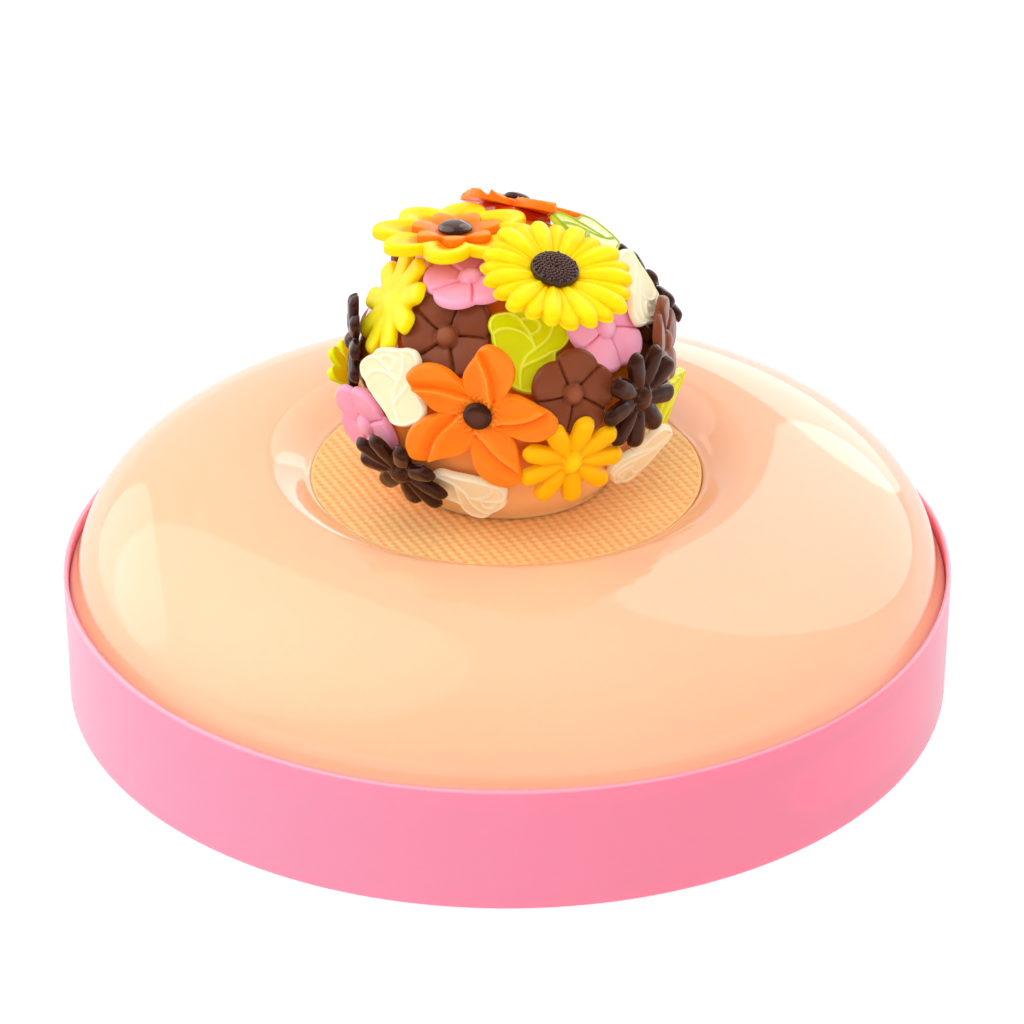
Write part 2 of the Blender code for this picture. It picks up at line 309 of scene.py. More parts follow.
def cakeProfile():
    # bottom, upright waist, superellipse shoulder, crest, straight slope with a lip at the wafer
    well, seat, waist, foot = cake["well"], cake["seat"], cake["waist"], cake["foot"]
    crest, shoulder = cake["crest"], cake["shoulder"]
    turn = np.linspace(math.pi / 2 * 0.93, 0, cake["shoulderRings"])
    out = np.sin(turn) ** (2 / cake["crestRoundness"])
    up = np.maximum(np.cos(turn), 0) ** (2 / cake["shoulderRoundness"])
    rise = cake["crestHeight"] - cake["shoulderHeight"]
    arch = np.stack([crest + (shoulder - crest) * out, cake["shoulderHeight"] + rise * up])
    share = np.linspace(1, 0.02, cake["slopeRings"])[1:]
    radius = well + (crest - well) * share
    height = 1 - (1 - share) ** cake["slopeRoundness"]
    height = cake["wellHeight"] + (cake["crestHeight"] - cake["wellHeight"]) * height
    height = height + cake["lip"] * ridge(radius - cake["lipRadius"], cake["lipWidth"])
    top = cake["waistHeight"]
    profile = [(0, 0), (waist - foot, 0), (waist - 0.3, 0.3), (waist, foot), (waist, 12),
               (waist, top), (waist - 0.1, top + 0.6), (waist - 0.5, top + 1.1)]
    profile += list(arch.T) + list(np.stack([radius, height]).T)
    return profile + [(well, cake["wellHeight"]), (well - 0.1, seat), (20, seat), (0, seat)]


def cakeWave(radius, height, angles):
    # the poured glaze lies a little unevenly on the shoulder: one wave and half as much of two
    lifted = step(20, 40, height) * step(50, 75, radius)
    return lifted * (cake["lean"] * np.cos(angles) + cake["sway"] * np.sin(2 * angles + 0.7))


def glazeMaterial():
    # apricot glaze, pinker to the right and lower down, with pale clouds, a fine ripple and painted
    # light on the part behind the band
    graph = Graph("glaze", Roughness=0.05, IOR=1.45, Subsurface_Weight=0.45,
                  Subsurface_Scale=0.006, Subsurface_Radius=(1.0, 0.45, 0.25))
    side = graph.ramp(graph.axis("X"), -0.095, 0.095)
    depth = graph.ramp(graph.axis("Z"), 0.020, 0.056)
    cream = graph.blend(side, hex3(255, 194, 150), hex3(255, 187, 150))
    lower = graph.blend(side, hex3(255, 187, 150), hex3(255, 179, 143))
    colour = graph.blend(depth, lower, cream)
    cloud = graph.ramp(graph.noise(14.0, 3.0), 0.35, 0.65, 0.0, 0.10)
    colour = graph.blend(cloud, colour, hex3(255, 214, 180))
    # painted light: the glaze below the band's rim is made paler, where the narrow gap lies in
    # shade
    paintedLightBehindBand = 1 - graph.ramp(graph.axis("Z"), 0.0262, 0.0290)  # behind the band
    colour = graph.blend(paintedLightBehindBand * 0.85, colour, hex3(255, 230, 214))
    ripple = graph.noise(45.0, 1.0)
    return graph.finish(Base_Color=colour, Normal=graph.bump(ripple, 0.0002, 0.25))


def addCake():
    # the section carried once round, lifted by the wave
    rings = turned(cakeProfile(), cake["columns"], cakeWave)
    addPiece("cake_glaze", "glazed_cake", "pale_glaze", glazeMaterial(), *closedRings(rings))


# the pink band

band = {"radius": 100.0, "wall": 1.1, "height": 28.7, "bulge": 0.12, "columns": 360,
        "rimWaves": [(0.28, 2, 0.6), (0.14, 5, 2.0), (0.06, 11, 0.0)]}  # height, number, phase


def bandProfile():
    # the sheet's section: up the outside, over the rounded rim and down the inside
    outer, inner, top = band["radius"], band["radius"] - band["wall"], band["height"]
    profile = [(outer - 0.15, 0), (outer, 0.2)]
    profile += [(outer, z) for z in np.linspace(1, top - 0.6, 26)]
    profile += [(outer - 0.05, top - 0.2), (outer - 0.25, top), (outer - 0.55, top + 0.05),
                (inner + 0.25, top), (inner + 0.05, top - 0.2)]
    profile += [(inner, z) for z in np.linspace(top - 0.6, 1, 10)]
    return profile + [(inner, 0.2), (inner + 0.15, 0)]


def addBand():
    # the section once round, its wall bulging in three waves and its cut rim running up and down
    angles = circle(band["columns"])
    profile = bandProfile()
    radius, level = np.array(profile).T[:, :, None]
    share = level / band["height"]
    rim = sum(size * np.sin(number * angles + phase) for size, number, phase in band["rimWaves"])
    bulge = band["bulge"] * np.sin(3 * angles + 0.4) * np.sin(math.pi * np.clip(share, 0, 1))
    radius = radius + bulge - band["bulge"]
    rings = np.stack([radius * np.cos(angles), radius * np.sin(angles),
                      level + step(0.6, 1.0, share) * rim], -1)
    addPiece("band", "pink_band", "pink_band", bandMaterial(), rings.reshape(-1, 3),
             ringFaces(len(profile), band["columns"], closed=True), np.zeros((0, 3), dtype=int))


def bandMaterial():
    # pink foil, paler to the left as painted light from the left and deeper to the right, its cut
    # rim paler
    graph = Graph("band", Roughness=0.32, IOR=1.45, Coat_Weight=0.12, Coat_Roughness=0.12,
                  Subsurface_Weight=0.75, Subsurface_Scale=0.003,
                  Subsurface_Radius=(1.0, 0.35, 0.35))
    # painted light: the band is coloured paler on the left, where the light falls, and deeper on
    # the right
    side = graph.ramp(graph.axis("X"), -0.10, 0.06)
    colour = graph.blend(side, hex3(255, 148, 176), hex3(255, 126, 151))
    edge = graph.ramp(graph.axis("Z"), 0.0279, 0.0285)
    colour = graph.blend(edge * 0.6, colour, hex3(255, 178, 194))
    return graph.finish(Base_Color=colour, Normal=graph.bump(graph.noise(60.0, 2.0), 0.0001, 0.3))


# the wafer

wafer = {"radius": 43.6, "top": 49.3, "thickness": 1.4, "shift": -0.2, "cells": 130,
         "grooves": [(2.1, 25.0), (1.8, -71.0)],  # pitch and turn of the two sets
         "pit": 0.3, "rimInner": 0.8, "rimOuter": 0.3}


def squareToDisc(count):
    # a square grid laid on a disc: squares round the middle become circles
    a, b = np.meshgrid(np.linspace(-1, 1, count), np.linspace(-1, 1, count), indexing="ij")
    wide = np.abs(a) > np.abs(b)
    radius = np.where(wide, a, b)
    with np.errstate(divide="ignore", invalid="ignore"):
        turn = np.where(wide, math.pi / 4 * b / a, math.pi / 2 - math.pi / 4 * a / b)
    turn = np.nan_to_num(turn)
    return radius * np.cos(turn), radius * np.sin(turn)


def waffle(x, y):
    # raised cells between two sets of wandering grooves, 0 in a pit and 1 on a cell
    phases = []
    for pitch, turn in wafer["grooves"]:
        t = math.radians(turn)
        along = x * math.cos(t) + y * math.sin(t)
        wander = 0.10 * np.sin(0.31 * x + 0.17 * y + turn) + 0.08 * np.sin(0.23 * y - 0.37 * x)
        phases.append(0.5 + 0.5 * np.cos(fullTurn * (along + wander) / pitch))
    first, second = phases
    rib = 1 - first ** 1.2
    return np.clip(rib * (0.64 + 0.36 * (1 - second)) + 0.4 * first * (1 - second) - 0.05, 0, 1)


def addWafer():
    # the waffle's height over a disc, full at the rim, with an upright edge and a flat foot
    radius, bottom = wafer["radius"], wafer["top"] - wafer["thickness"]
    count = 2 * wafer["cells"]
    x, y = squareToDisc(count)
    x, y = x * radius, y * radius
    rim = step(radius - wafer["rimInner"], radius - wafer["rimOuter"], np.hypot(x, y))
    cell = np.maximum(waffle(x, y), rim)
    top = wafer["top"] - wafer["pit"] * (1 - cell)
    points = np.stack([x + wafer["shift"], y, top], -1).reshape(-1, 3)
    number = np.arange(count * count).reshape(count, count)
    quads = np.stack([number[:-1, :-1], number[1:, :-1], number[1:, 1:], number[:-1, 1:]],
                     -1).reshape(-1, 4)
    border = np.concatenate([number[:-1, 0], number[-1, :-1], number[:0:-1, -1], number[0, :0:-1]])
    foot = points[border].copy()
    foot[:, 2] = bottom
    first, size = len(points), len(border)
    here = np.arange(size)
    after = (here + 1) % size
    sides = np.stack([border[here], first + here, first + after, border[after]], -1)
    triangles = np.stack([np.full(size, first + size), first + after, first + here], -1)
    marks = np.concatenate([cell.ravel(), np.full(size + 1, 0.6)])
    points = np.vstack([points, foot, [[wafer["shift"], 0, bottom]]])
    addPiece("wafer", "wafer_disc", "wafer", waferMaterial(), points, np.vstack([quads, sides]),
             triangles, marks)


def waferMaterial():
    # baked batter: browner pits as painted shade, paler cells, fine grain and broad toasted clouds
    graph = Graph("wafer", Roughness=0.75, IOR=1.45, Subsurface_Weight=0.12,
                  Subsurface_Scale=0.001, Subsurface_Radius=(1.0, 0.5, 0.25))
    cell = graph.attribute("relief")
    # painted shade: the pits, low in the relief, take the darker brown and the cells the paler
    # colour
    colour = graph.blend(graph.ramp(cell, 0.0, 0.75), hex3(250, 172, 98), hex3(255, 212, 144))
    grain = graph.noise(900.0, 3.0)
    colour = graph.blend(graph.ramp(grain, 0.4, 0.7, 0.0, 0.35), colour, hex3(240, 168, 96))
    toast = graph.noise(70.0, 2.0)
    colour = graph.blend(graph.ramp(toast, 0.5, 0.75, 0.0, 0.25), colour, hex3(246, 170, 100))
    return graph.finish(Base_Color=colour, Normal=graph.bump(grain, 0.00025, 0.5))


# the glazed ball

ball = {"radius": 33.3, "height": 74.5, "floor": 49.6, "flare": 0.9, "flareHeight": 0.8,
        "rings": 100, "columns": 200}
ballCentre = np.array([0, 0, ball["height"]])


def addBall():
    # a sphere cut flat on the wafer, its glaze drawn out into a small foot
    floor = ball["floor"]
    lowest = math.asin((floor - ball["height"]) / ball["radius"])
    turn = np.linspace(lowest, math.pi / 2, ball["rings"])
    radius = ball["radius"] * np.cos(turn)
    height = ball["height"] + ball["radius"] * np.sin(turn)
    radius = radius + ball["flare"] * np.exp(-(height - floor) / ball["flareHeight"])
    radius[-1] = 0
    profile = [(0, floor), (radius[0] - 0.5, floor)] + list(np.stack([radius, height]).T)
    rings = turned(profile, ball["columns"])
    addPiece("ball_glaze", "glazed_ball", "orange_glaze", ballMaterial(), *closedRings(rings))


def ballMaterial():
    # orange glaze that pales to cream near the wafer and turns deeper orange higher up among the
    # flowers, partly as painted shade, with soft deeper clouds
    graph = Graph("ball_glaze", Roughness=0.10, IOR=1.47, Subsurface_Weight=0.45,
                  Subsurface_Scale=0.006, Subsurface_Radius=(1.0, 0.35, 0.1),
                  Coat_Weight=0.3, Coat_Roughness=0.04)
    cloud = graph.noise(55.0, 2.0)
    high = graph.ramp(graph.axis("Z"), 0.050, 0.076)
    # painted shade, in part: the glaze turns deeper orange higher up, where the flowers shade it
    base = graph.blend(high, hex3(255, 214, 158), hex3(255, 140, 30))
    colour = graph.blend(graph.ramp(cloud, 0.35, 0.7, 0.0, 0.25), base, hex3(255, 150, 60))
    return graph.finish(Base_Color=colour, Normal=graph.bump(graph.noise(120.0, 1.0), 0.0002, 0.2))


# outlines of the chocolate flowers: a radius for each angle

def petalOutline(count, centre, along, across, hub):
    # the furthest of the elliptic petals and the hub
    turn = fullTurn / count

    def radius(angles):
        best = np.full_like(angles, hub)
        for k in (-1, 0, 1):
            aside = (angles + turn / 2) % turn - turn / 2 + k * turn
            c, s = np.cos(aside), np.sin(aside)
            square = (c / along) ** 2 + (s / across) ** 2
            half = centre * c / along ** 2
            under = half * half - square * ((centre / along) ** 2 - 1)
            reach = (half + np.sqrt(np.maximum(under, 0))) / square
            best = np.where((c > 0) & (under > 0), np.maximum(best, reach), best)
        return best
    return radius


def cornerOutline(corners, count=1):
    # radius through corners (degrees, radius) along a Hermite curve, repeated count times
    degrees, radii = np.array(corners, dtype=float).T
    period, number = 360 / count, len(corners)
    spans = np.diff(np.append(degrees, degrees[0] + period))
    rates = np.diff(np.append(radii, radii[0])) / spans
    before = np.roll(rates, 1)
    total = before + rates
    slopes = np.where(before * rates > 0, 2 * before * rates / np.where(total, total, 1),
                      0.3 * total)

    def radius(angles):
        turn = (np.degrees(angles) - degrees[0]) % period + degrees[0]
        i = np.clip(np.searchsorted(degrees, turn, side="right") - 1, 0, number - 1)
        t, j = (turn - degrees[i]) / spans[i], (i + 1) % number
        return (radii[i] * (1 + 2 * t) * (1 - t) ** 2 + radii[j] * t * t * (3 - 2 * t)
                + spans[i] * t * (1 - t) * (slopes[i] * (1 - t) - slopes[j] * t))
    return radius


def roundOutline(radius):
    # the same radius all round
    return lambda angles: radius + 0 * angles


def searchOutline(inside, nearest, furthest, least):
    # the last of 301 steps outwards that is inside the form, but no less than least
    reach = np.linspace(nearest, furthest, 301)[:, None]
    return lambda angles: (reach * inside(reach * np.cos(angles), reach * np.sin(angles))
                           ).max(axis=0).clip(least)


def bent(bends, edge, height):
    # an outline and a front whose petals lie as the bends say, eased from one to the next
    turns, stretches = np.array(bends + bends[:1]).T
    places = np.linspace(0, 360, len(bends) + 1)

    def bend(angles):
        around = np.degrees(angles) % 360
        return (angles - np.radians(np.interp(around, places, turns)),
                np.interp(around, places, stretches))

    def bentEdge(angles):
        angle, stretch = bend(angles)
        return stretch * edge(angle)

    def bentHeight(x, y):
        angle, stretch = bend(np.arctan2(y, x))
        away = np.hypot(x, y) / stretch
        return height(away * np.cos(angle), away * np.sin(angle))

    return bentEdge, bentHeight


# fronts of the chocolate flowers: a height for each point

def petalFrame(x, y, count, curl=0.0):
    # along and across the nearest petal, its number, and the share of its half width
    away = np.hypot(x, y)
    angle = np.arctan2(y, x) + curl * (away / 10) ** 2
    turn = fullTurn / count
    number = np.round(angle / turn)
    aside = angle - number * turn
    return away * np.cos(aside), away * np.sin(aside), number % count, aside / (turn / 2)


def softMax(a, b, sharpness=9.0):
    # the higher of two, blended where they meet: the log of the sum of their exponentials
    return np.logaddexp(a * sharpness, b * sharpness) / sharpness


# outline: middle, half length and half width of a petal, and the hub
plum = {"petals": 5, "outline": (5.2, 5.1, 5.6, 5.0), "curl": 0.10, "height": 1.45,
        "swell": 0.5, "lap": 0.24, "groove": 0.55, "grooveWidth": 0.24, "moat": 0.3,
        "moatRadius": 2.75, "moatWidth": 0.35, "button": 2.45, "buttonFoot": 1.35,
        "buttonRise": 1.2}


def plumHeight(x, y):
    # five rounded petals, each lapping over the next, round a button
    away = np.hypot(x, y)
    share = petalFrame(x, y, plum["petals"], plum["curl"])[3]
    gap = (1 - np.abs(share)) * math.pi / plum["petals"] * away
    petal = plum["height"] + plum["swell"] * (1 - share ** 2) * step(2.5, 6.0, away)
    petal = (petal + plum["lap"] * share - plum["groove"] * ridge(gap, plum["grooveWidth"])
             - plum["moat"] * ridge(away - plum["moatRadius"], plum["moatWidth"]))
    button = plum["buttonFoot"] + plum["buttonRise"] * dome((away / plum["button"]) ** 2)
    return np.where(away < plum["button"], button, petal)


# petal: the finger's foot, rise and swell; web: the disc where the fingers have grown together
daisy = {"petals": 9, "halfWidth": 2.3, "sideBlunt": 2, "end": 9.5, "endBlunt": 2, "least": 6.9,
         "foot": 0.7, "rise": 1.25, "swell": 0.3, "flatness": 1.0,
         "webFoot": 0.6, "web": 0.85, "webRadii": (8.0, 4.5),
         "buttonFoot": 0.9, "button": 2.15, "buttonRadii": (3.1, 2.45), "buttonFlatness": 1.0,
         "moat": 0.22}

# the same mould in lower relief, its petals wider and grown together far out
flatDaisy = {"petals": 9, "halfWidth": 2.45, "sideBlunt": 2.6, "end": 9.4, "endBlunt": 2.4,
             "least": 7.9, "foot": 0.6, "rise": 1.1, "swell": 0.2, "flatness": 0.6,
             "webFoot": 0.5, "web": 1.25, "webRadii": (9.0, 6.0),
             "buttonFoot": 0.8, "button": 1.25, "buttonRadii": (3.6, 3.2), "buttonFlatness": 0.7,
             "moat": 0.0}


def daisyForm(mould):
    # nine half-round fingers grown together at the root, and an oval button
    def fingerShare(along, across):
        # 0 on a finger's spine, 1 on its edge: straight sides and a round end
        width = np.clip(0.36 * along, 0.3, mould["halfWidth"])
        over = np.maximum(along - mould["end"], 0) / 2.4
        return (np.abs(across) / width) ** mould["sideBlunt"] + over ** mould["endBlunt"]

    def height(x, y):
        along, across = petalFrame(x, y, mould["petals"])[:2]
        rise = mould["rise"] + mould["swell"] * step(3.0, 7.0, along)
        petal = mould["foot"] + rise * dome(fingerShare(along, across)) ** mould["flatness"]
        web = mould["webFoot"] + mould["web"] * step(*mould["webRadii"], np.hypot(x, y))
        wide, deep = mould["buttonRadii"]
        button = dome((x / wide) ** 2 + (y / deep) ** 2) ** mould["buttonFlatness"]
        button = mould["buttonFoot"] + mould["button"] * button
        moat = mould["moat"] * ridge(np.hypot(x, 1.25 * y) - 3.5, 0.5)
        return softMax(softMax(petal, web), button) - moat

    def inside(x, y):
        return fingerShare(*petalFrame(x, y, mould["petals"])[:2]) < 1

    return searchOutline(inside, 5, 12.5, mould["least"]), height


lily = {"petals": 5,
        "corners": [(-36, 8.4), (-31, 11.2), (-24, 13.8), (-16, 15.6), (-7, 16.7), (0, 16.8),
                    (6, 15.7), (13, 13.0), (26, 10.0)],
        "bends": [(6.5, 0.93), (9, 1.0), (-1, 1.13), (7, 1.06), (-5, 0.98)],  # degrees, stretch
        "fold": 1.45, "foldFoot": 1.1, "foldWidth": 2.6, "broad": 1.0, "broadFoot": 0.95,
        "broadWidth": 3.4, "vein": 0.26, "veinWidth": 0.4, "ribs": 0.2}


def lilyHeight(x, y):
    # five folded petals: a raised inner fold, a crease that bends outwards, a broad outer half,
    # a vein along the fold and fine ribs round the middle
    away = np.hypot(x, y)
    along, across = petalFrame(x, y, lily["petals"])[:2]
    crease = -2.3 + (np.clip(along, 3, 16) - 4.5) * 0.40 + 0.5 * np.sin(0.5 * along)
    beside = across - crease
    fold = lily["foldFoot"] + lily["fold"] * np.exp(-np.clip(beside, 0, None) / lily["foldWidth"])
    broad = lily["broadFoot"] + lily["broad"] * step(0.0, lily["broadWidth"], -beside)
    petal = broad + (fold - broad) * step(-0.2, 0.2, beside)
    vein = 2.3 + 2.0 * np.sin(np.clip((along - 3.4) / 9.4, 0, 1) * math.pi * 0.8)
    petal = petal + (lily["vein"] * ridge(across - vein, lily["veinWidth"])
                     * step(3, 5, along) * step(13.5, 11, along))
    ribs = np.cos(20 * np.arctan2(y, x) + 2 * np.sin(3 * away)) * step(7.0, 3.5, away)
    return petal + 0.1 + lily["ribs"] * ribs - 0.1 * step(4.0, 2.8, away)


rose = {"corners": [(0, 7.2), (8, 8.4), (17, 9.4), (28, 9.8), (40, 9.2), (60, 8.0), (80, 8.2),
                    (99, 8.9), (110, 8.8), (120, 9.6), (134, 10.5), (145, 9.9), (155, 8.4),
                    (165, 7.8), (178, 7.0), (202, 6.5), (222, 7.0), (240, 8.7), (258, 9.1),
                    (275, 9.4), (295, 10.0), (308, 9.2), (320, 7.4), (335, 6.2), (350, 5.9)],
        "lines": [[(-7.6, 3.7), (-4.9, 4.8), (-2.2, 4.2), (-0.3, 2.9), (1.2, 0.4), (-0.5, -1.2),
                   (-1.8, -3.3), (-2.3, -5.3), (-2.4, -8.0)],
                  [(-3.3, 7.7), (-1.9, 6.9), (-0.8, 5.3), (0.3, 3.5), (1.2, 0.4)],
                  [(-1.6, 6.4), (0.3, 6.7), (1.9, 6.1), (2.7, 5.0), (2.3, 4.1), (1.2, 3.4),
                   (0.3, 3.4)],
                  [(4.1, 6.8), (5.3, 5.2), (5.0, 3.8), (4.1, 2.2), (2.7, 1.0), (1.2, 0.0)],
                  [(6.2, -0.5), (4.6, -0.8), (2.6, -1.8), (0.0, -2.7), (-1.5, -3.4)]],
        "lineWidth": 0.42, "foot": 1.2, "crown": 0.25, "relief": 0.45}


def smoothLine(corners, count=8):
    # a Catmull-Rom curve through the corners
    corners = np.array([corners[0]] + list(corners) + [corners[-1]])
    share = np.linspace(0, 1, count, endpoint=False)[:, None]
    a, b, c, d = (corners[i:len(corners) - 3 + i, None] for i in range(4))
    curve = 0.5 * (2 * b + (c - a) * share + (2 * a - 5 * b + 4 * c - d) * share ** 2
                   + (3 * b - a - 3 * c + d) * share ** 3)
    return np.vstack([curve.reshape(-1, 2), corners[-1:]])


def lineDistance(x, y, line):
    # the distance from each point to the nearest stretch of a line
    best = np.full(x.shape, 99.0)
    for (ax, ay), (bx, by) in zip(line[:-1], line[1:]):
        dx, dy = bx - ax, by - ay
        share = np.clip(((x - ax) * dx + (y - ay) * dy) / max(dx * dx + dy * dy, 1e-9), 0, 1)
        best = np.minimum(best, np.hypot(x - ax - share * dx, y - ay - share * dy))
    return best


roseEdge = cornerOutline(rose["corners"])


def roseRelief(x, y):
    # raised lines between the rose's petals and along its edge
    inset = roseEdge(np.arctan2(y, x)) - np.hypot(x, y)
    relief = ridge(inset - 0.45, rose["lineWidth"])
    for line in rose["lines"]:
        away = lineDistance(x, y, smoothLine(line))
        relief = np.maximum(relief, ridge(away, rose["lineWidth"]))
    return relief


def roseHeight(x, y):
    # a low crown that falls with the square of the way out, and the raised lines
    away = np.hypot(x, y)
    return rose["foot"] + rose["crown"] * (1 - (away / 10) ** 2) + rose["relief"] * roseRelief(x, y)


# layers: turn, reach, half width, foot and rise of eleven petals; bends: degrees, stretch
sunflower = {"petals": 11, "layers": [(0.0, 15.8, 1.95, 0.7, 1.1),
                                      (math.pi / 11, 15.6, 2.0, 0.2, 0.9)],
             "bends": [(0, 1.03), (0, 1.06), (0, 1.03), (0, 0.98), (0, 0.95), (0, 0.98)],
             "tip": 3.2, "blunt": 2.1, "ribs": 0.15, "between": 0.3}


def sunflowerShare(x, y, turn, reach, width):
    # 0 on a petal's spine, 1 on its edge: a narrow root, a wide blunt end
    c, s = math.cos(turn), math.sin(turn)
    along, across, number = petalFrame(x * c + y * s, y * c - x * s, sunflower["petals"])[:3]
    vary = np.sin(number * 2.4 + 9 * turn)
    half = np.clip((width + 0.12 * vary) * step(-2.0, reach * 0.72, along), 0.25, None)
    over = np.maximum(along - (reach - sunflower["tip"] + 0.4 * vary), 0) / sunflower["tip"]
    side = np.abs(across + 0.15 * vary) / half
    return side ** sunflower["blunt"] + over ** sunflower["blunt"], across / half


def sunflowerHeight(x, y):
    # the higher of two layers of petals, each petal with two fine ribs, the whole arched
    away = np.hypot(x, y)
    arch = 0.6 + 0.9 * np.sin(np.clip((away - 4) / 11.5, 0, 1) * math.pi * 0.85)
    layers = []
    for turn, reach, width, foot, rise in sunflower["layers"]:
        square, aside = sunflowerShare(x, y, turn, reach, width)
        ribs = sunflower["ribs"] * np.cos(1.7 * math.pi * aside) * step(15, 11, away)
        petal = foot + (rise + ribs) * dome(square) ** 0.8
        layers.append(np.where(square < 1, petal, sunflower["between"]))
    return (np.maximum(*layers) + 0.1) * arch + 0.15


def inSunflower(x, y):
    # inside a petal of either layer
    first, second = (sunflowerShare(x, y, *layer[:3])[0] < 1 for layer in sunflower["layers"])
    return first | second


disc = {"radius": 5.25, "foot": 0.5, "rise": 0.95, "domeRadius": 5.2, "dip": 0.3, "dipWidth": 1.4,
        "beads": 111, "spacing": 0.445, "beadRadius": 0.43, "beadHeight": 0.5,
        "ring": 0.3, "ringRadius": 5.0, "ringWidth": 0.22}


def discHeight(x, y):
    # a low dome inside a ring, studded with beads set along the golden angle
    away = np.hypot(x, y)
    shape = disc["foot"] + disc["rise"] * dome((away / disc["domeRadius"]) ** 2) ** 0.8
    shape = shape - disc["dip"] * ridge(away, disc["dipWidth"])
    beads = np.zeros_like(away)
    for i in range(1, disc["beads"] + 1):
        spot, turn = disc["spacing"] * math.sqrt(i), i * math.radians(137.508)
        near = (x - spot * math.cos(turn)) ** 2 + (y - spot * math.sin(turn)) ** 2
        beads = np.maximum(beads, dome(near / disc["beadRadius"] ** 2))
    ring = disc["ring"] * ridge(away - disc["ringRadius"], disc["ringWidth"])
    return shape + disc["beadHeight"] * beads + ring


# outline: a petal's middle, half length and half width, and the hub
plate = {"petals": 8, "outline": (9.5, 8.1, 5.2, 12.0), "foot": 0.95, "border": 1.5,
         "borderInset": (8.8, 1.6)}
star = {"petals": 7, "outline": (5.0, 4.7, 2.8, 6.6), "foot": 0.6, "rise": 1.3,
        "tips": (2.8, 7.6)}
buttons = {"lily": (3.1, 1.6), "plate": (3.7, 1.8)}  # radius and height

plateEdge = petalOutline(plate["petals"], *plate["outline"])


def plateHeight(x, y):
    # a thick lobed plate, its middle sunk inside a broad rounded border
    inset = plateEdge(np.arctan2(y, x)) - np.hypot(x, y)
    return plate["foot"] + plate["border"] * step(*plate["borderInset"], inset)


def starHeight(x, y):
    # seven half-round petals that rise to their tips from a shallow ring round the middle
    along, across = petalFrame(x, y, star["petals"])[:2]
    lobe = 0.55 + 0.45 * dome((across / 2.9) ** 2)
    dip = 0.1 * ridge(np.hypot(x, y) - 4.2, 0.6)
    return star["foot"] + star["rise"] * lobe * step(*star["tips"], along) - dip


def buttonHeight(radius, height):
    # a smooth dome inside a thin raised ring
    def form(x, y):
        share = np.hypot(x, y) / radius
        return height * (0.3 + 0.7 * dome((share / 0.95) ** 2) - 0.06 * ridge(share - 0.9, 0.04)
                         + 0.08 * ridge(share - 0.96, 0.04))
    return form


plumEdge = petalOutline(plum["petals"], *plum["outline"])
starEdge = petalOutline(star["petals"], *star["outline"])
lilyEdge = cornerOutline(lily["corners"], lily["petals"])
sunflowerEdge = searchOutline(inSunflower, 11, 17, 11.5)

# outline, front height, columns, rings, height of the upright edge, width of its rounding
forms = {
    "plum": (plumEdge, plumHeight, 220, 36, 0.55, 1.0),
    "daisy": (*daisyForm(daisy), 216, 30, 0.5, 0.9),
    "flatDaisy": (*daisyForm(flatDaisy), 216, 30, 0.5, 0.9),
    "lily": (*bent(lily["bends"], lilyEdge, lilyHeight), 600, 50, 0.5, 0.9),
    "rose": (roseEdge, roseHeight, 260, 52, 0.7, 0.6),
    "sunflower": (*bent(sunflower["bends"], sunflowerEdge, sunflowerHeight), 704, 52, 0.45, 0.8),
    "plate": (plateEdge, plateHeight, 256, 44, 1.2, 1.1),
    "star": (starEdge, starHeight, 168, 26, 0.25, 0.5),
    "disc": (roundOutline(disc["radius"]), discHeight, 300, 72, 0.5, 0.3),
    **{name + "Button": (roundOutline(size[0]), buttonHeight(*size), 72, 22, 0.35, 0.25)
       for name, size in buttons.items()},
}


def shell(form, size):
    # flat back, upright edge, rounded rim and moulded front, ring by ring
    outline, height, columns, count, low, soft = forms[form]
    angles = circle(columns)
    edge = outline(angles)
    shares = 1 - np.linspace(0, 1, count) ** 1.6
    x = shares[:, None] * edge * np.cos(angles)
    y = shares[:, None] * edge * np.sin(angles)
    inset = (1 - shares)[:, None] * edge
    rise = dome((1 - np.minimum(inset / soft, 1)) ** 2)
    front = low + (height(x, y) - low) * rise
    back = np.array([(0, 0), (0.6, 0), (0.97, 0), (0.995, 0.12 * low), (1, 0.4 * low)])
    backX = back[:, :1] * edge * np.cos(angles)
    backY = back[:, :1] * edge * np.sin(angles)
    backZ = back[:, 1:] + 0 * angles
    rings = np.stack([np.vstack([backX, x]) * size, np.vstack([backY, y]) * size,
                      np.vstack([backZ, front])], -1)
    # relief for the material's painted shade in the folds and painted highlight on the ridges: 0 in
    # the folds, 1 on the ridges and 0.45 round the rim
    raised = 0.42 + 0.58 * roseRelief(x, y) if form == "rose" else (front - low) / np.ptp(front)
    marks = np.vstack([np.full((len(back), columns), 0.45), raised * rise + 0.45 * (1 - rise)])
    marks = np.concatenate([marks[1:-1].ravel(), marks[0, :1], marks[-1, :1]])
    return (*closedRings(rings), marks)


# where the flowers sit

